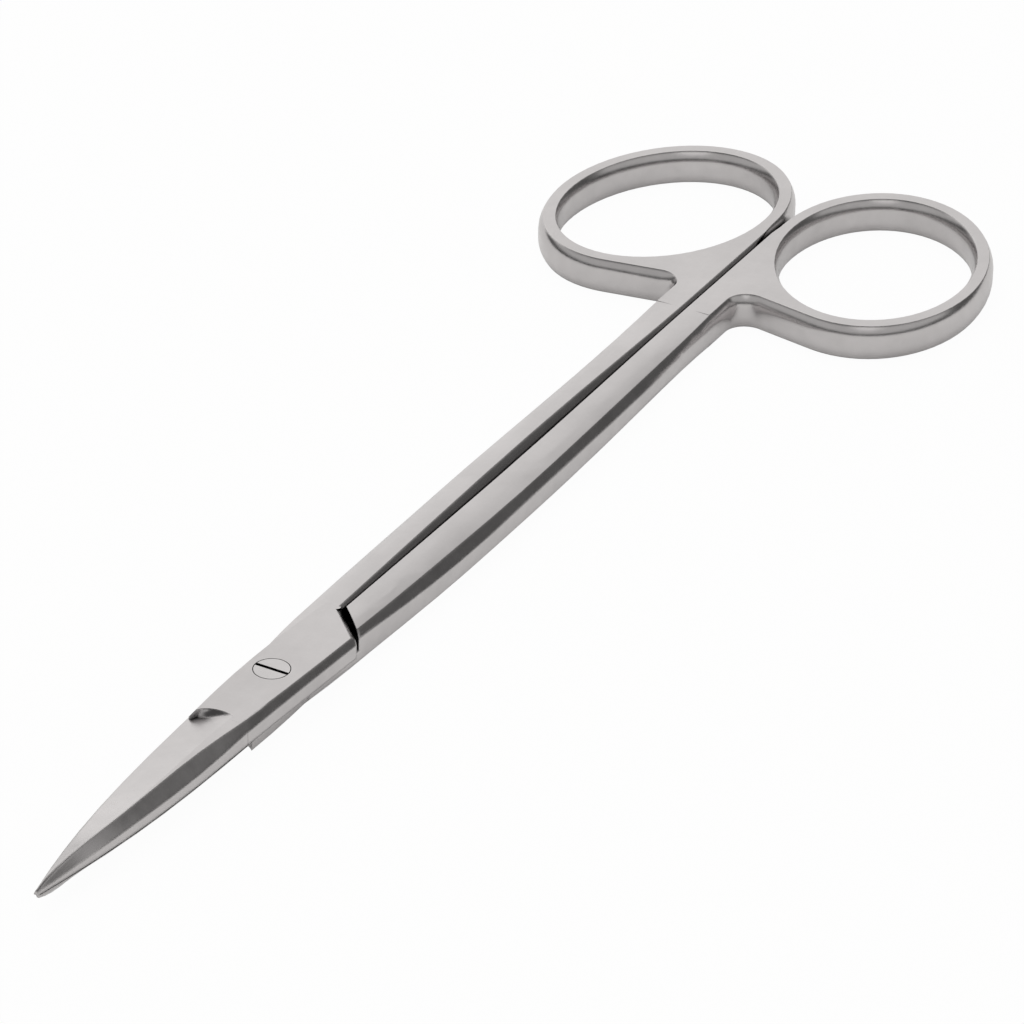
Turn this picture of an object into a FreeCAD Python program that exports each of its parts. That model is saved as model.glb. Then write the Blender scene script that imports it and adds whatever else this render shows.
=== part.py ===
"""Dissecting scissors, 16 cm, straight, with a flush pivot screw.

Two forged halves cross in a lap joint and turn on one slotted screw. Both halves are the same
forging: the second one is the first turned over about the long axis, so both rings lie in one
plane and both broad faces are flush. Only the grind of the sides and blades and the bores differ.

Frame: +Y runs from the pivot to the rings, the tips point to -Y, +Z is up. The origin is on the
pivot axis, in the plane of the underside, on which the closed scissors rest.
Each half is drawn as the upper one: its blade is in the upper layer, its shank and ring are on
the -X side. Along the shank, "out" is the distance from the seam plane x = 0 towards -X.
"""
import FreeCAD, Part
import Sketcher
import os
from math import atan2, cos, pi, radians, sin, sqrt

V = FreeCAD.Vector

# Driving dimensions, in millimetres and degrees.
SIZES = {
    "thickness": 4.4,        # both layers, top face to underside
    "lap_gap": 0.12,         # running gap between the two layers at the joint
    "seam_gap": 0.10,        # between the closed shanks
    "shoulder_gap": 0.80,    # between a joint plate and the other half's shoulder

    # pivot screw
    "head_radius": 1.75,
    "head_height": 1.10,
    "pin_radius": 1.20,
    "head_fit": 0.09,        # radial, head in its seat
    "running_fit": 0.05,     # radial, pin in the upper half
    "thread_fit": 0.01,      # radial, screw in the lower half
    "slot_width": 0.40,
    "slot_deep_end": 0.75,
    "slot_shallow_end": 0.12,

    # joint plate: the flat middle of each half, one layer thick
    "plate_front": 8.45,     # pivot to the ground step in front of it
    "plate_seam": 12.65,     # pivot to the plate's back end, at the seam
    "plate_side": 9.00,      # pivot to the plate's back end, at the spine side
    "plate_spine": 3.75,     # half width at the pivot, spine side
    "plate_edge": 3.08,      # half width at the pivot, cutting side
    "plate_lean": 0.15,      # the upper half's is ground this much wider, the lower's narrower
    "plate_flare": 0.054,    # growth of the half width for each millimetre along Y
    "spine_bevel": 0.65,     # width of the steep bevel along the spine
    "spine_bevel_drop": 0.72,
    "edge_bevel": 0.65,      # width of the bevel on the other side
    "edge_bevel_drop": 0.70,
    "back_bevel": 0.75,      # bevel on the back end, along Y
    "back_bevel_drop": 0.40,
    "step_run": 4.0,         # run of the ground ramp in front, from the top face to the lap plane

    # blade
    "blade_length": 39.1,    # pivot to the tip of the upper blade
    "short_blade": 0.35,     # the lower blade stops this much earlier
    "short_plate": 2.1,      # and so does its joint plate
    "facet_crest": 1.10,     # where the facet leaves the flat top
    "edge_land": 0.06,       # width of the steep cutting bevel
    "thin_edge": 0.15,       # height the lower blade's facet leaves at the cutting edge
    "tip_half_width": 0.22,
    "tip_aside": 0.20,       # both tips lie this far to the -X side of the pivot

    # shank: broad faces that fall away outwards, bevels, and a wall
    "crown_start": 1.30,     # flat from the seam to here
    "neck": 84.0,            # pivot to the root of the ring
    "neck_width": 3.70,
    "neck_crown": 0.01,
    "neck_chamfer": 0.32,    # seam edge there
    "ring_chamfer": 0.34,    # seam edge where the rings part
    "seam_ease": 6.0,        # before the rings part, the seam edges begin to draw back

    # ring: an oval opening in a thin, deep wall with rounded bevels; sizes at mid thickness
    "ring_y": 105.2,
    "ring_long": 28.2,       # finger opening
    "ring_wide": 20.8,
    "ring_wall": 2.55,
    "ring_side": 0.25,       # the wall is this much thinner at the sides
    "ring_bevel_wide": 0.55,
    "ring_bevel_high": 1.50,
    "ring_flat": 0.05,       # ground off where the two rings meet
    "ring_drop": 0.20,       # each broad face lies this much below the joint's
    "ring_tilt": 12.0,       # the far end leans towards the seam
    "crotch_slope": 10.0,    # the ring's front runs back to the shank at this slope
    "crotch_radius": 1.9,
}

# Blade stations: distance from the pivot, half width at the lap plane, ridge between top and
# spine bevel, fall of the top face, fall of the spine bevel, fall of the facet, and how far the
# blade lies to the -X side.
BLADE = {
    "root": (4.0, 3.36, 2.74, 0.02, 0.77, 1.07, 0.00),
    "heel": (10.0, 3.18, 2.35, 0.00, 0.85, 1.05, 0.00),
    "belly": (18.0, 2.85, 1.50, 0.02, 1.15, 1.10, 0.00),
    "middle": (26.0, 2.20, 1.15, 0.10, 1.20, 1.15, 0.03),
    "point": (34.0, 1.12, 0.48, 0.50, 1.60, 1.40, 0.12),
}
BLADE_COLUMNS = ("at", "half", "ridge", "fall", "spine_fall", "edge_fall", "aside")

# Shank stations: distance from the pivot, width out, width and height of the bevel that joins
# the crowned broad face to the wall, its roundness (0 flat, 1 round into the wall), chamfer at
# the seam, lean of the outer side, fall of the broad face at the bevel.
SHANK = {
    "lap": (2.0, 3.00, 0.60, 0.70, 0.05, 0.25, 0.00, 0.20),
    "front": (16.0, 3.90, 0.74, 0.82, 0.10, 0.34, 0.12, 0.30),
    "rise": (27.0, 4.28, 0.98, 0.93, 0.15, 0.50, 0.30, 0.34),
    "swell": (40.0, 4.32, 0.78, 0.93, 0.20, 0.67, 0.34, 0.34),
    "rear": (55.0, 4.18, 0.78, 0.95, 0.30, 0.68, 0.35, 0.34),
    "waist": (72.0, 3.92, 0.72, 1.10, 0.60, 0.45, 0.16, 0.34),
}
SHANK_COLUMNS = ("at", "width", "bevel_wide", "bevel_high", "round", "chamfer", "lean", "crown")


class Dim:
    """A length that carries its number and the sheet formula that gives it."""

    def __init__(self, value, text):
        self.value, self.text = float(value), text

    @staticmethod
    def of(other):
        return other if isinstance(other, Dim) else Dim(other, repr(float(other)))

    def __add__(self, other):
        other = Dim.of(other)
        return Dim(self.value + other.value, f"({self.text} + {other.text})")

    def __sub__(self, other):
        other = Dim.of(other)
        return Dim(self.value - other.value, f"({self.text} - {other.text})")

    def __mul__(self, other):
        other = Dim.of(other)
        return Dim(self.value * other.value, f"({self.text} * {other.text})")

    def __truediv__(self, other):
        other = Dim.of(other)
        return Dim(self.value / other.value, f"({self.text} / {other.text})")

    def __neg__(self):
        return Dim(-self.value, f"(-{self.text})")

    __radd__ = __add__
    __rmul__ = __mul__

    def __rsub__(self, other):
        return Dim.of(other) - self


doc = FreeCAD.newDocument("dissecting_scissors")
sheet = doc.addObject("Spreadsheet::Sheet", "Sizes")
D = {}


def put_size(name, value):
    """Write one plain number with its alias, and keep it as a Dim."""
    row = len(D) + 1
    sheet.set(f"A{row}", name)
    sheet.set(f"B{row}", str(value))
    sheet.setAlias(f"B{row}", name)
    D[name] = Dim(value, f"Sizes.{name}")


for size, number in SIZES.items():
    put_size(size, number)
for station, row in BLADE.items():
    for what, number in zip(BLADE_COLUMNS, row):
        put_size(f"blade_{station}_{what}", number)
for station, row in SHANK.items():
    for what, number in zip(SHANK_COLUMNS, row):
        put_size(f"shank_{station}_{what}", number)
doc.recompute()

TOP = D["thickness"]
LAP = D["thickness"] / 2 + D["lap_gap"] / 2      # underside of the upper layer
SEAM = D["seam_gap"] / 2                         # shank wall, out from x = 0
ZERO = Dim(0, "0")


def plane_of(body, role):
    return next(f for f in body.Origin.OriginFeatures if f.Role == role)


def new_sketch(body, name, role, offset=ZERO):
    """A sketch on the body's own XY_Plane or XZ_Plane, lifted by offset along its normal."""
    sketch = body.newObject("Sketcher::SketchObject", name)
    sketch.AttachmentSupport = [(plane_of(body, role), "")]
    sketch.MapMode = "FlatFace"
    sketch.AttachmentOffset = FreeCAD.Placement(V(0, 0, offset.value), FreeCAD.Rotation())
    if offset is not ZERO:
        sketch.setExpression(".AttachmentOffset.Base.z", offset.text)
    return sketch


def pin(sketch, edge, end, x, y):
    """Hold one end point of an edge at x, y from the origin."""
    for kind, dim in (("DistanceX", x), ("DistanceY", y)):
        dim = Dim.of(dim)
        number = sketch.addConstraint(Sketcher.Constraint(kind, -1, 1, edge, end, dim.value))
        if "Sizes" in dim.text:
            sketch.setExpression(f"Constraints[{number}]", dim.text)


def outline(sketch, points, curved=()):
    """Closed outline through points. curved gives, for the number of an edge, the point where the
    tangents at its two ends meet; that edge is then a parabola."""
    count = len(points)
    flat = [V(Dim.of(x).value, Dim.of(y).value, 0) for x, y in points]
    for i in range(count):
        start, end = flat[i], flat[(i + 1) % count]
        if i in curved:
            corner = V(*(Dim.of(c).value for c in curved[i]), 0)
            bend = Part.BSplineCurve()
            bend.buildFromPolesMultsKnots([start, corner, end], [3, 3], [0, 1], False, 2)
            sketch.addGeometry(bend, False)
        else:
            sketch.addGeometry(Part.LineSegment(start, end), False)
    for i, (x, y) in enumerate(points):
        sketch.addConstraint(Sketcher.Constraint("Coincident", i - 1 if i else count - 1, 2, i, 1))
        pin(sketch, i, 1, x, y)
    return sketch


def section(body, name, y, points, curved=()):
    """An outline in x and z, across the scissors at the given y."""
    return outline(new_sketch(body, name, "XZ_Plane", -y), points, curved)


def settle(feature):
    """Recompute, and stop at once if the feature can't be made."""
    doc.recompute()
    if {"Invalid", "Error"} & set(feature.State) or not feature.Shape.isValid():
        raise RuntimeError(f"{feature.Name} failed: {feature.State}")
    return feature


def loft(body, name, sketches, kind="AdditiveLoft", ruled=False):
    feature = body.newObject(f"PartDesign::{kind}", name)
    feature.Profile = sketches[0]
    feature.Sections = sketches[1:]
    feature.Ruled = ruled
    return settle(feature)


def extrude(body, name, kind, sketch, length, reverse=False, midplane=False):
    """A Pad or a Pocket of the sketch; a Pocket has to take something away."""
    before = body.Shape.Volume if kind == "Pocket" else 0
    feature = body.newObject(f"PartDesign::{kind}", name)
    feature.Profile = sketch
    feature.Type = "Length"
    feature.Length = length.value
    feature.setExpression("Length", length.text)
    feature.Reversed = reverse
    feature.Midplane = midplane
    settle(feature)
    if kind == "Pocket" and body.Shape.Volume > before - 1e-3:
        raise RuntimeError(f"{name} cut nothing")
    return feature


def ring_axes():
    """Unit vectors of the ring on the -X side: along its long axis, and at right angles to it."""
    tilt = radians(D["ring_tilt"].value)
    return V(sin(tilt), cos(tilt), 0), V(-cos(tilt), sin(tilt), 0)


def opening_size(set_in):
    """Half length and half width of the finger opening, its wall set in."""
    return D["ring_long"].value / 2 + set_in, D["ring_wide"].value / 2 + set_in


def outer_size(set_in):
    """Half length and half width of the ring's outside, its wall set in."""
    wall = D["ring_wall"].value - set_in
    return D["ring_long"].value / 2 + wall, D["ring_wide"].value / 2 + wall - D["ring_side"].value


def ring_centre():
    """The ring's outside crosses the seam by as much as is ground off there."""
    along, across = ring_axes()
    outer = outer_size(D["ring_flat"].value)
    reach = sqrt((outer[0] * along.x) ** 2 + (outer[1] * across.x) ** 2)
    return V(-SEAM.value - reach, D["ring_y"].value, 0)


def ring_oval(half):
    """The oval with these half sizes, around the centre of the ring."""
    along, across = ring_axes()
    centre = ring_centre()
    return Part.Ellipse(centre + along * half[0], centre + across * half[1], centre)


def ring_tangent(normal, half):
    """Where a straight edge with this outward normal touches the ring's oval, as the oval's own
    angle and as a point."""
    along, across = ring_axes()
    angle = atan2(half[1] * normal.dot(across), half[0] * normal.dot(along))
    return angle, ring_centre() + along * (half[0] * cos(angle)) + across * (half[1] * sin(angle))


def ring_outline(body, name, height, inset):
    """Outline of ring and neck at one height, set in from the widest line."""
    set_in = inset.value
    centre = ring_centre()
    outer = outer_size(set_in)
    seam_angle, seam_point = ring_tangent(V(1, 0, 0), outer)
    slope = radians(D["crotch_slope"].value)
    front_normal = V(sin(slope), -cos(slope), 0)
    front_angle, front_point = ring_tangent(front_normal, outer)

    # the crotch: a round between the shank's wall and the ring's front
    radius, wall = D["crotch_radius"].value + set_in, set_in - D["neck_width"].value
    reach = (front_point - centre).dot(front_normal) + radius
    hub_x = wall - radius
    hub = V(hub_x, centre.y + (reach - front_normal.x * (hub_x - centre.x)) / front_normal.y, 0)
    crotch_front = hub - front_normal * radius
    crotch_wall = hub + V(radius, 0, 0)
    middle = hub + (V(1, 0, 0) - front_normal).normalize() * radius

    neck = D["neck"].value
    sketch = new_sketch(body, name, "XY_Plane", height)
    sketch.addGeometry([
        Part.LineSegment(V(seam_point.x, neck, 0), seam_point),
        Part.ArcOfEllipse(ring_oval(outer), seam_angle % (2 * pi), front_angle % (2 * pi)),
        Part.LineSegment(front_point, crotch_front),
        Part.Arc(crotch_front, middle, crotch_wall),
        Part.LineSegment(crotch_wall, V(wall, neck, 0)),
        Part.LineSegment(V(wall, neck, 0), V(seam_point.x, neck, 0)),
    ], False)
    pin(sketch, 4, 2, inset - D["neck_width"], D["neck"])
    return sketch


def opening_outline(body, name, height, widen):
    """The finger opening at one height."""
    sketch = new_sketch(body, name, "XY_Plane", height)
    sketch.addGeometry(ring_oval(opening_size(widen.value)), False)
    return sketch


def add_ring(body):
    """Ring and neck: flat broad faces, and bevels that are parabolas and run into the walls."""
    low, high = D["ring_drop"], TOP - D["ring_drop"]
    bevel = [(D["ring_bevel_high"] * share, D["ring_bevel_wide"] * (1 - share) ** 2)
             for share in (0, 0.2, 0.45, 0.7, 1)]
    levels = [(low + depth, inset) for depth, inset in bevel]
    levels += [(high - depth, inset) for depth, inset in reversed(bevel)]
    loft(body, "Ring", [ring_outline(body, f"RingLevel{number}", z, inset)
                        for number, (z, inset) in enumerate(levels, 1)], ruled=True)
    loft(body, "Opening", [opening_outline(body, f"OpeningLevel{number}", z, inset)
                           for number, (z, inset) in enumerate(levels, 1)],
         "SubtractiveLoft", ruled=True)

    # on the seam side the neck is straight up to where the rings part, and the ring is ground flat
    touch = ring_tangent(V(1, 0, 0), outer_size(0))[1]
    neck, depth, far = D["neck"], D["ring_wall"] / 2, D["ring_y"] + D["ring_long"]
    strip = outline(new_sketch(body, "NeckStripOutline", "XY_Plane", low),
                    [(-depth, neck), (-SEAM, neck), (-SEAM, touch.y - D["seam_ease"]),
                     (-SEAM - D["ring_bevel_wide"], touch.y), (-depth, touch.y)])
    extrude(body, "NeckStrip", "Pad", strip, high - low)
    beyond = outline(new_sketch(body, "RingFlatOutline", "XY_Plane"),
                     [(-SEAM, ZERO), (-SEAM, far), (D["ring_wall"], far), (D["ring_wall"], ZERO)])
    extrude(body, "RingFlat", "Pocket", beyond, TOP, reverse=True)


def add_shank(body, lean_side):
    """Crowned broad faces, bevels and a wall outside, chamfers at the seam. lean_side is 1 for the
    half that is ground narrower and -1 for the one that is left wider."""
    stations = [[D[f"shank_{name}_{what}"] for what in SHANK_COLUMNS] + [ZERO] for name in SHANK]
    stations[-1][-1] = D["ring_drop"] / 2
    # the shank's end lies inside the neck of the ring, a hair below its faces
    hair = 0.004
    stations.append([D["neck"] + 0.5, D["neck_width"] - hair, D["ring_bevel_wide"],
                     D["ring_bevel_high"], Dim(1, "1"), D["neck_chamfer"], ZERO,
                     D["neck_crown"], D["ring_drop"] + hair])
    sketches = []
    for number, (at, width, wide, high, bend, chamfer, lean, crown, low) in enumerate(stations, 1):
        wall, top = lean_side * lean - width, TOP - low
        edge, start, fall = wall + wide, -D["crown_start"], crown + high
        points = [(-SEAM, low + chamfer), (-SEAM - chamfer, low), (start, low), (edge, low + crown),
                  (wall, low + fall), (wall, top - fall), (edge, top - crown), (start, top),
                  (-SEAM - chamfer, top), (-SEAM, top - chamfer)]
        middle = (start + edge) / 2
        corner, drop = wall + wide / 2 * (1 - bend), crown + high / 2
        sketches.append(section(body, f"ShankSection{number}", at, points,
                                {2: (middle, low), 3: (corner, low + drop),
                                 5: (corner, top - drop), 6: (middle, top)}))
    loft(body, "Shank", sketches)


def add_seam_chamfers(body):
    """The seam chamfer runs on over the neck and ring, and fades towards the gap between them."""
    spare = 0.5
    for label, face, up in (("Upper", TOP - D["ring_drop"], 1), ("Lower", D["ring_drop"], -1)):
        ends = []
        for end, at, chamfer in (("Neck", D["neck"], D["neck_chamfer"]),
                                 ("Ring", D["ring_y"] + D["ring_long"] / 3, D["ring_chamfer"])):
            out = -SEAM - chamfer - spare
            points = [(out, face + up * spare), (-SEAM + spare, face + up * spare),
                      (-SEAM + spare, face - up * (chamfer + spare))]
            ends.append(section(body, f"{label}Chamfer{end}", at, points))
        loft(body, f"{label}SeamChamfer", ends, "SubtractiveLoft")


def shoulder(gap):
    """The slanting line where a joint plate stops: at the seam, and at the spine side."""
    run = D["plate_seam"] - D["plate_side"]
    return D["plate_seam"] + gap, D["plate_side"] + gap, run


def add_lap(body):
    """The lower layer of the shank ends in front at a shoulder, where the other half's joint plate
    comes to lie."""
    at_seam, at_side, run = shoulder(D["shoulder_gap"])
    cut = outline(new_sketch(body, "LapOutline", "XY_Plane"),
                  [(D["plate_edge"], ZERO), (D["plate_edge"], at_seam), (ZERO, at_seam),
                   (-2 * D["plate_spine"], at_side - run),
                   (-2 * D["plate_spine"], ZERO)])
    extrude(body, "Lap", "Pocket", cut, LAP, reverse=True)


def add_plate(body, lean_side, shorter):
    """The joint plate in the upper layer, bevelled on both sides, before the blade is joined on."""
    sketches = []
    heel, back = D["blade_heel_at"], D["plate_seam"] + 0.1
    sides = [(-heel, D["blade_heel_half"], D["blade_heel_half"] - D["blade_heel_ridge"],
              D["blade_heel_spine_fall"], 1)]
    for y, flare in ((ZERO, 1), (back, 0.2)):
        sides.append((y, D["plate_spine"] + D["plate_flare"] * y, D["spine_bevel"],
                      D["spine_bevel_drop"], flare))
    for number, (y, spine, bevel, drop, flare) in enumerate(sides, 1):
        edge = D["plate_edge"] + D["plate_flare"] / 2 * y if flare == 1 else D["plate_edge"] * 0.7
        edge = edge + lean_side * D["plate_lean"]
        points = [(-edge, LAP), (spine, LAP), (spine - 0.03, TOP - drop), (spine - bevel, TOP),
                  (-edge + D["edge_bevel"], TOP), (-edge + 0.1, TOP - D["edge_bevel_drop"])]
        sketches.append(section(body, f"PlateSection{number}", y, points))
    loft(body, "JointPlate", sketches)

    # behind: the plate stops short of the other half's shoulder, and its edge is bevelled, also
    # where it meets the seam chamfer
    at_seam, at_side, run = shoulder(ZERO)
    wide, chamfer = 2 * D["plate_spine"], D["shank_lap_chamfer"]
    behind = outline(new_sketch(body, "PlateBackOutline", "XY_Plane", LAP),
                     [(-SEAM, at_seam), (wide, at_side - run), (wide, back + 2), (-SEAM, back + 2)])
    extrude(body, "PlateBack", "Pocket", behind, TOP, reverse=True)
    bevels = []
    for name, height, ahead in (("Foot", TOP - D["back_bevel_drop"], ZERO),
                                ("Top", TOP, D["back_bevel"])):
        bevels.append(outline(
            new_sketch(body, f"BackBevel{name}", "XY_Plane", height),
            [(-SEAM - chamfer, at_seam + chamfer - ahead), (wide, at_side - run - ahead),
             (wide, back + 2), (-SEAM, back + 2), (-SEAM, at_seam + 2 * chamfer - ahead)]))
    loft(body, "BackBevel", bevels, "SubtractiveLoft", ruled=True)

    # in front: the grinding wheel has left a ramp, whose arc runs out where the facet meets the top
    front, run = (shorter - D["plate_front"]).value, D["step_run"].value
    crest, far = D["facet_crest"].value, -D["blade_length"].value
    marks = []
    for name, height, arc in (("Top", TOP, [(-2.07, -0.70), (-0.45, 0), (crest, -0.20)]),
                              ("Foot", LAP, [(-2.60, -1.50), (-0.80, -run), (crest + 0.1, -0.7 * run)])):
        left, middle, right = (V(x, front + y, 0) for x, y in arc)
        outside = left + V(-1.2, -1.6, 0)
        corners = [right, V(crest + 0.4, front - 0.9, 0), V(wide.value, front - 0.9, 0),
                   V(wide.value, far, 0), V(outside.x, far, 0), outside, left]
        wheel = new_sketch(body, f"PlateFront{name}", "XY_Plane", height)
        wheel.addGeometry([Part.LineSegment(p, q) for p, q in zip(corners, corners[1:])]
                          + [Part.Arc(left, middle, right)], False)
        marks.append(wheel)
    loft(body, "PlateFront", marks, "SubtractiveLoft", ruled=True)


def blade_section(body, name, y, half, ridge, fall, spine_fall, edge_fall, aside):
    """Six corners: cutting edge, spine, foot of the spine bevel, ridge, crest of the facet, and
    the top of the steep cutting bevel; aside is positive towards the spine."""
    edge = -half + 0.04
    crest = D["facet_crest"] if ridge.value > D["facet_crest"].value + 0.2 else ridge - 0.12
    points = [(edge, LAP), (half, LAP), (half - 0.03, TOP - spine_fall), (ridge, TOP - fall),
              (crest, TOP - fall), (edge + D["edge_land"], TOP - edge_fall)]
    return section(body, name, -y, [(x + aside, z) for x, z in points])


def add_blade(body, lean_side, length, thin_edge):
    """The blade ends a given length from the pivot; with thin_edge its facet is ground down to
    that height at the cutting edge."""
    sketches = []
    for name in BLADE:
        at, half, ridge, fall, spine_fall, edge_fall, aside = (D[f"blade_{name}_{what}"]
                                                               for what in BLADE_COLUMNS)
        if thin_edge:
            edge_fall = TOP - LAP - thin_edge
        sketches.append(blade_section(body, f"Blade{name.capitalize()}", at, half, ridge, fall,
                                      spine_fall, edge_fall, -lean_side * aside))
    tip, aside = D["tip_half_width"], -lean_side * D["tip_aside"]
    corners = [(-tip, LAP), (tip, LAP), (tip, LAP + 0.25), (tip * 0.6, LAP + 0.4),
               (-tip * 0.3, LAP + 0.4), (-tip * 0.9, LAP + 0.12)]
    sketches.append(section(body, "BladeTip", -length, [(x + aside, z) for x, z in corners]))
    loft(body, "Blade", sketches)


def make_half(label, lean_side, shorter, thin_edge, bores):
    """One forging with its own grind: how much shorter the blade and the plate are, and the height
    left at the cutting edge. Its bores are given as name, radius, depth and where they start."""
    body = doc.addObject("PartDesign::Body", label)
    body.Label = label
    add_ring(body)
    add_shank(body, lean_side)
    add_seam_chamfers(body)
    add_lap(body)
    add_plate(body, lean_side, shorter[1])
    add_blade(body, lean_side, D["blade_length"] - shorter[0], thin_edge)
    for name, radius, depth, start in bores:
        bore = new_sketch(body, f"{name}Outline", "XY_Plane", start)
        bore.addGeometry(Part.Circle(V(0, 0, 0), V(0, 0, 1), radius.value), False)
        bore.addConstraint(Sketcher.Constraint("Coincident", 0, 3, -1, 1))
        number = bore.addConstraint(Sketcher.Constraint("Radius", 0, radius.value))
        bore.setExpression(f"Constraints[{number}]", radius.text)
        extrude(body, name, "Pocket", bore, depth)
    return body


def make_screw():
    """Turned pin with a flat cheese head and a saw-cut slot that grows deeper to one side."""
    body = doc.addObject("PartDesign::Body", "pivot_screw")
    body.Label = "pivot_screw"
    profile = new_sketch(body, "ScrewProfile", "XZ_Plane")
    neck = TOP - D["head_height"]
    outline(profile, [(ZERO, ZERO), (D["pin_radius"], ZERO), (D["pin_radius"], neck),
                      (D["head_radius"], neck), (D["head_radius"], TOP), (ZERO, TOP)])
    turned = body.newObject("PartDesign::Revolution", "Turned")
    turned.Profile = profile
    turned.ReferenceAxis = (profile, ["V_Axis"])
    turned.Angle = 360
    settle(turned)

    reach = D["head_radius"] + 0.2
    slot = outline(new_sketch(body, "SlotProfile", "XZ_Plane"),
                   [(-reach, TOP - D["slot_deep_end"]), (reach, TOP - D["slot_shallow_end"]),
                    (reach, TOP + 1), (-reach, TOP + 1)])
    extrude(body, "Slot", "Pocket", slot, D["slot_width"], midplane=True)
    return body


upper_half = make_half("upper_half", 1, (ZERO, ZERO), None, [
    ("HeadSeat", D["head_radius"] + D["head_fit"], D["head_height"] + D["lap_gap"] / 2, TOP),
    ("ScrewBore", D["pin_radius"] + D["running_fit"], TOP, TOP),
])
lower_half = make_half("lower_half", -1, (D["short_blade"], D["short_plate"]), D["thin_edge"], [
    ("ThreadBore", D["pin_radius"] + D["thread_fit"], TOP, TOP),
])
lower_half.Placement = FreeCAD.Placement(V(0, 0, TOP.value), FreeCAD.Rotation(V(0, 1, 0), 180))
lower_half.setExpression(".Placement.Base.z", TOP.text)
pivot_screw = make_screw()
pieces = [upper_half, lower_half, pivot_screw]
doc.recompute()

# Check every feature and write the pieces.
for thing in doc.Objects:
    if {"Invalid", "Error"} & set(thing.State):
        raise RuntimeError(f"{thing.Name} failed: {thing.State}")
os.makedirs("parts", exist_ok=True)
for piece in pieces:
    shape = piece.Shape
    if shape.isNull() or not shape.isValid() or len(shape.Solids) != 1:
        raise RuntimeError(f"{piece.Label} is not one sound solid")
    shape.exportStep(f"parts/{piece.Label}.step")
    box = shape.BoundBox
    print(f"{piece.Label}: {shape.Volume:.1f} mm3, x {box.XMin:.2f} {box.XMax:.2f}, "
          f"y {box.YMin:.2f} {box.YMax:.2f}, z {box.ZMin:.2f} {box.ZMax:.2f}")
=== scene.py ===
"""Dissecting scissors lying closed on a white table, in soft studio light.

Everything is in metres, in the part's own frame: +Y runs from the pivot to the finger rings, +Z is up,
and the underside lies in z = 0.
"""

from math import cos, degrees, radians, sin

import bmesh
import bpy
import numpy as np
from mathutils import Matrix, Vector


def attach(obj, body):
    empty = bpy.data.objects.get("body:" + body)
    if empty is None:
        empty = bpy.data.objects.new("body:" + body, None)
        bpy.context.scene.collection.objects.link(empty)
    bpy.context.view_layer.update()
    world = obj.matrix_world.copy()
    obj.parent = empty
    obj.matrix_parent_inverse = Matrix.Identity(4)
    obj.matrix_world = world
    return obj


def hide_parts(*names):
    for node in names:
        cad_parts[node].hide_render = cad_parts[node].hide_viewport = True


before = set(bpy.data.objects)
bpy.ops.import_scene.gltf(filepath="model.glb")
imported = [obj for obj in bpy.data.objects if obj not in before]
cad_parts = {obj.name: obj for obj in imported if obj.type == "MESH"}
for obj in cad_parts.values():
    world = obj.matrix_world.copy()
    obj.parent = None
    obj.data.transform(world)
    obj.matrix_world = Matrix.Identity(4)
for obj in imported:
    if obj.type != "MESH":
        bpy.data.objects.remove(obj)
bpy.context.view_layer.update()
scene = bpy.context.scene


# The two halves. Each is one forging of stainless steel, ground on all sides and tumbled. The broad
# faces are then blasted matt, while the bevels and walls keep a smoother, faintly brushed finish.
class Signal:
    """A socket in a node tree. Sums, differences and products of signals add their Math nodes."""

    def __init__(self, tree, socket=None):
        self.tree, self.socket = tree, socket

    def add(self, kind, output=0, settings=None, **inputs):
        """Add a node: first its settings, then its sockets, named with _ for a space or by i and
        their number. Gives the signal of one output."""
        node = self.tree.nodes.new(kind)
        for name, setting in (settings or {}).items():
            setattr(node, name, setting)
        for name, value in inputs.items():
            socket = node.inputs[int(name[1:]) if name[1:].isdigit() else name.replace("_", " ")]
            if isinstance(value, Signal):
                self.tree.links.new(value.socket, socket)
            else:
                socket.default_value = value
        return Signal(self.tree, node.outputs[output] if node.outputs else None)

    def math(self, operation, first, second=0.0):
        return self.add("ShaderNodeMath", settings={"operation": operation}, i0=first, i1=second)

    def __add__(self, other):
        return self.math("ADD", self, other)

    def __sub__(self, other):
        return self.math("SUBTRACT", self, other)

    def __rsub__(self, other):
        return self.math("SUBTRACT", other, self)

    def __mul__(self, other):
        return self.math("MULTIPLY", self, other)

    __radd__ = __add__
    __rmul__ = __mul__

    def step(self, low, high):
        """0 below low, 1 above high, and smooth between them."""
        return self.add("ShaderNodeMapRange", settings={"interpolation_type": "SMOOTHSTEP"},
                        Value=self, From_Min=low, From_Max=high)

    def towards(self, other, share):
        """This signal where share is 0, the other where it is 1."""
        return self + (other - self) * share

    def noise(self, where, scale, detail=2.0, roughness=0.5):
        return self.add("ShaderNodeTexNoise", Vector=where, Scale=scale, Detail=detail,
                        Roughness=roughness)


def blank(block, name):
    """A new material or world with an empty node tree."""
    made = block.new(name)
    made.use_nodes = True
    made.node_tree.nodes.clear()
    return made, Signal(made.node_tree)


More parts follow.
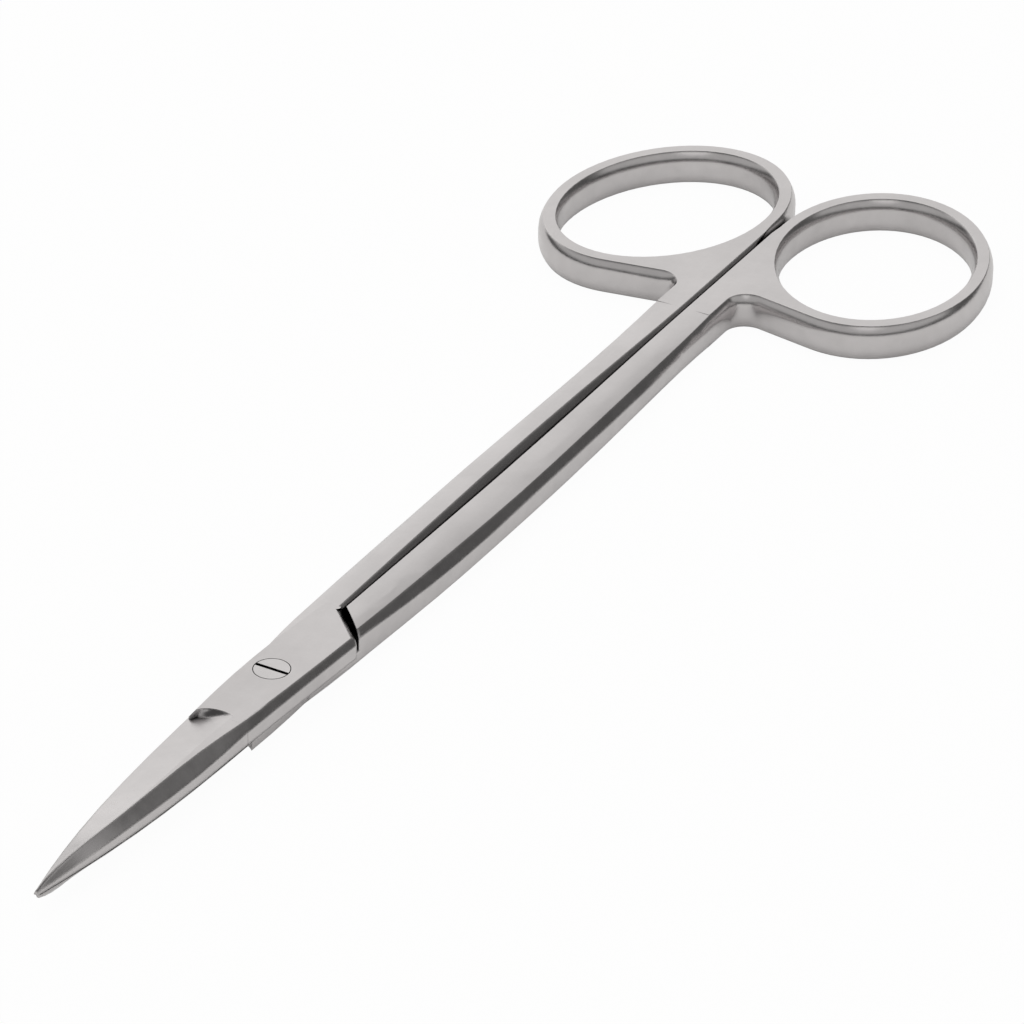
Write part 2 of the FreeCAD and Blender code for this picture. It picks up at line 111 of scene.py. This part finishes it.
def steel(name, colour, matt, smooth, edge):
    """Stainless steel with two finishes: matt is the roughness of faces that look straight up or
    down, smooth that of all others, which round off towards their edges within the radius edge."""
    material, new = blank(bpy.data.materials, name)
    place = new.add("ShaderNodeTexCoord", output="Object")
    normal = new.add("ShaderNodeTexCoord", output="Normal")
    upright = new.math("ABSOLUTE", new.add("ShaderNodeSeparateXYZ", output="Z", Vector=normal))
    face = upright.step(0.90, 0.99)

    grain = new.noise(place, 3800.0, 3.0, 0.6)
    blotch = new.noise(place, 620.0, 3.0, 0.55)
    cloud = new.noise(place, 130.0, 1.0)
    along = new.add("ShaderNodeMapping", Vector=place, Scale=(1.0, 0.12, 1.0))
    brush = new.noise(along, 2600.0, 2.0)

    rough = (smooth + (matt - smooth) * face + (grain - 0.5) * face * 0.12
             + (blotch - 0.5) * 0.10 + (brush - 0.5) * 0.05)
    tint = 0.5 + (blotch - 0.5) * 0.65 + (cloud - 0.5) * 0.55 + (grain - 0.5) * face * 0.35
    shade = new.add("ShaderNodeMix", output=2, settings={"data_type": "RGBA"}, Factor=tint,
                    i6=(*(0.85 * part for part in colour), 1.0),
                    i7=(*(min(1, 1.15 * part) for part in colour), 1.0))
    # painted shade: the colour turns almost black in narrow gaps, where close steel hides the room.
    # Low down it is left out, because the table under the scissors would count as the far side of a
    # gap
    height = new.add("ShaderNodeSeparateXYZ", output="Z", Vector=place)
    painted_gap_shade_mask = new.add("ShaderNodeAmbientOcclusion", output="AO", settings={"samples": 8},
                          Distance=0.0011)
    painted_gap_shade_mask = painted_gap_shade_mask.step(0.30, 0.85).towards(1.0, 1 - height.step(0.0010, 0.0019))
    # painted shade: where this mask is low, the colour mixes to near black, standing in for the shade
    # in the gaps
    shade = new.add("ShaderNodeMix", output=2, settings={"data_type": "RGBA"}, Factor=painted_gap_shade_mask,
                    i6=(0.012, 0.011, 0.011, 1.0), i7=shade)
    relief = (grain * face * 0.000006 + brush * (1 - face) * 0.0000025 + blotch * 0.000010)
    flat = new.add("ShaderNodeNewGeometry", output="Normal")
    rounded = new.add("ShaderNodeBevel", settings={"samples": 6}, Radius=edge)
    rounded = new.add("ShaderNodeMix", output=1, settings={"data_type": "VECTOR"}, i0=face,
                      i4=rounded, i5=flat)
    bump = new.add("ShaderNodeBump", Strength=0.5, Distance=1.0, Height=relief, Normal=rounded)
    metal = new.add("ShaderNodeBsdfPrincipled", Base_Color=shade, Metallic=1.0, Roughness=rough,
                    Normal=bump)
    new.add("ShaderNodeOutputMaterial", Surface=metal)
    return material


def ground(node, name, body, material, crease_joint, crease_grip, grip_from=0.013):
    """A copy of a CAD node that stands for it, with its corners merged. Faces that meet at less
    than the crease angle shade as one surface, in which large faces weigh most. The angle has one
    value for joint and blade, and one for shank and ring, from grip_from along Y."""
    merged = bmesh.new()
    merged.from_mesh(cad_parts[node].data)
    same_corner = 0.000002
    bmesh.ops.remove_doubles(merged, verts=merged.verts, dist=same_corner)
    for face in merged.faces:
        face.smooth = True
    for edge in merged.edges:
        grip = min(corner.co.y for corner in edge.verts) > grip_from
        edge.smooth = degrees(edge.calc_face_angle(0)) < (crease_grip if grip else crease_joint)
    mesh = bpy.data.meshes.new(name)
    merged.to_mesh(mesh)
    merged.free()
    mesh.materials.clear()
    mesh.materials.append(material)
    piece = bpy.data.objects.new(name, mesh)
    scene.collection.objects.link(piece)
    weighted = piece.modifiers.new("weighted", "WEIGHTED_NORMAL")
    weighted.mode, weighted.keep_sharp, weighted.weight = "FACE_AREA", True, 50
    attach(piece, body)
    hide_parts(node)


half_steel = steel("half_steel", (0.63, 0.612, 0.612), 0.36, 0.17, 0.00042)
ground("upper_half", "upper_forging", "upper", half_steel, 9.0, 12.5)
ground("lower_half", "lower_forging", "lower", half_steel, 9.0, 12.5)


# The pivot screw. Turned from the same steel, and ground flush with the joint after it was set.
# The saw left its slot deeper on one side.
screw_steel = steel("screw_steel", (0.63, 0.615, 0.615), 0.30, 0.22, 0.00008)
ground("pivot_screw", "turned_screw", "lower", screw_steel, 20.0, 20.0)


# The white table. One wide, matt sheet that the scissors lie on. To the camera it looks white and
# still carries their soft shadow.
table_size = 4.0
table_mesh = bpy.data.meshes.new("table")
corners = np.array([(-1, -1, 0), (1, -1, 0), (1, 1, 0), (-1, 1, 0)]) * table_size / 2
table_mesh.from_pydata(corners.tolist(), [], [(0, 1, 2, 3)])
table = bpy.data.objects.new("table", table_mesh)
scene.collection.objects.link(table)
table_white, new = blank(bpy.data.materials, "table_white")
seen = new.add("ShaderNodeLightPath", output="Is Camera Ray")
mirrored = new.add("ShaderNodeLightPath", output="Is Glossy Ray")
paper = new.add("ShaderNodeBsdfDiffuse", Color=(0.86, 0.85, 0.84, 1))
glow = new.add("ShaderNodeEmission", Color=(1, 1, 1, 1), Strength=1.0)
surface = new.add("ShaderNodeMixShader", Fac=seen * 0.965 + mirrored * 0.2, i1=paper, i2=glow)
new.add("ShaderNodeOutputMaterial", Surface=surface)
table_mesh.materials.append(table_white)


# The studio. A grey room with a tall window behind on the left, a dark wall behind on the right, a
# dark ceiling and a dark line along the floor, a small window over the tips, and a soft lamp above
# for the table.
world, new = blank(bpy.data.worlds, "studio")
scene.world = world
direction = new.add("ShaderNodeTexCoord", output="Generated")
rise = new.add("ShaderNodeSeparateXYZ", output="Z", Vector=direction)


def patch(azimuth, elevation, inner, outer):
    """1 within inner degrees of a direction, fading to 0 at outer degrees. Azimuth counts from +Y
    towards +X."""
    a, e = radians(azimuth), radians(elevation)
    aim = (sin(a) * cos(e), cos(a) * cos(e), sin(e))
    near = new.add("ShaderNodeVectorMath", output="Value", settings={"operation": "DOT_PRODUCT"},
                   i0=direction, i1=aim)
    return near.step(cos(radians(outer)), cos(radians(inner)))


room = (0.08 + rise.step(sin(radians(6)), sin(radians(15))) * 0.44
        - rise.step(sin(radians(36)), sin(radians(50))) * 0.34
        - rise.step(sin(radians(64)), sin(radians(80))) * 0.12)
level = room.towards(1.0, patch(-46, 30, 20, 46))
level = level.towards(0.07, patch(-80, 74, 10, 32))
level = level.towards(0.11, patch(32, 14, 18, 34))
level = level.towards(0.85, patch(146, 44, 8, 24))
level = level.towards(0.05, patch(150, 74, 12, 26))
sky = new.add("ShaderNodeBackground", Color=(1.0, 0.99, 0.98, 1), Strength=level)
white = new.add("ShaderNodeBackground", Color=(1, 1, 1, 1), Strength=1.0)
seen = new.add("ShaderNodeLightPath", output="Is Camera Ray")
surface = new.add("ShaderNodeMixShader", Fac=seen, i1=sky, i2=white)
new.add("ShaderNodeOutputWorld", Surface=surface)
lamp = bpy.data.objects.new("lamp", bpy.data.lights.new("lamp", "AREA"))
lamp.data.size, lamp.data.energy = 1.2, 8.0
lamp.location = (-0.2, 0.1, 1.2)
lamp.visible_glossy = False
scene.collection.objects.link(lamp)
scene.view_settings.view_transform = "Standard"


# The camera. A long lens that looks from the right over the tips towards the rings, a little
# rolled. It aims at the middle of the scissors, and all its angles are in degrees.
azimuth, elevation, roll = (radians(angle) for angle in (28.617, 30.736, 1.170))
distance, aim = 0.46654, Vector((0.00521, 0.03669, 0.0044))
back = Vector((sin(azimuth) * cos(elevation), -cos(azimuth) * cos(elevation), sin(elevation)))
level_right = Vector((cos(azimuth), sin(azimuth), 0))
level_up = back.cross(level_right)
right = level_right * cos(roll) + level_up * sin(roll)
up = level_up * cos(roll) - level_right * sin(roll)
lens = bpy.data.cameras.new("camera")
lens.sensor_width = 36.0
lens.lens = 165.04
lens.shift_x, lens.shift_y = 0.00123, -0.00007
lens.clip_start, lens.clip_end = 0.01, 20
camera = bpy.data.objects.new("camera", lens)
camera.matrix_world = Matrix.Translation(aim + back * distance) @ Matrix(
    (right, up, back)).transposed().to_4x4()
scene.collection.objects.link(camera)
scene.camera = camera
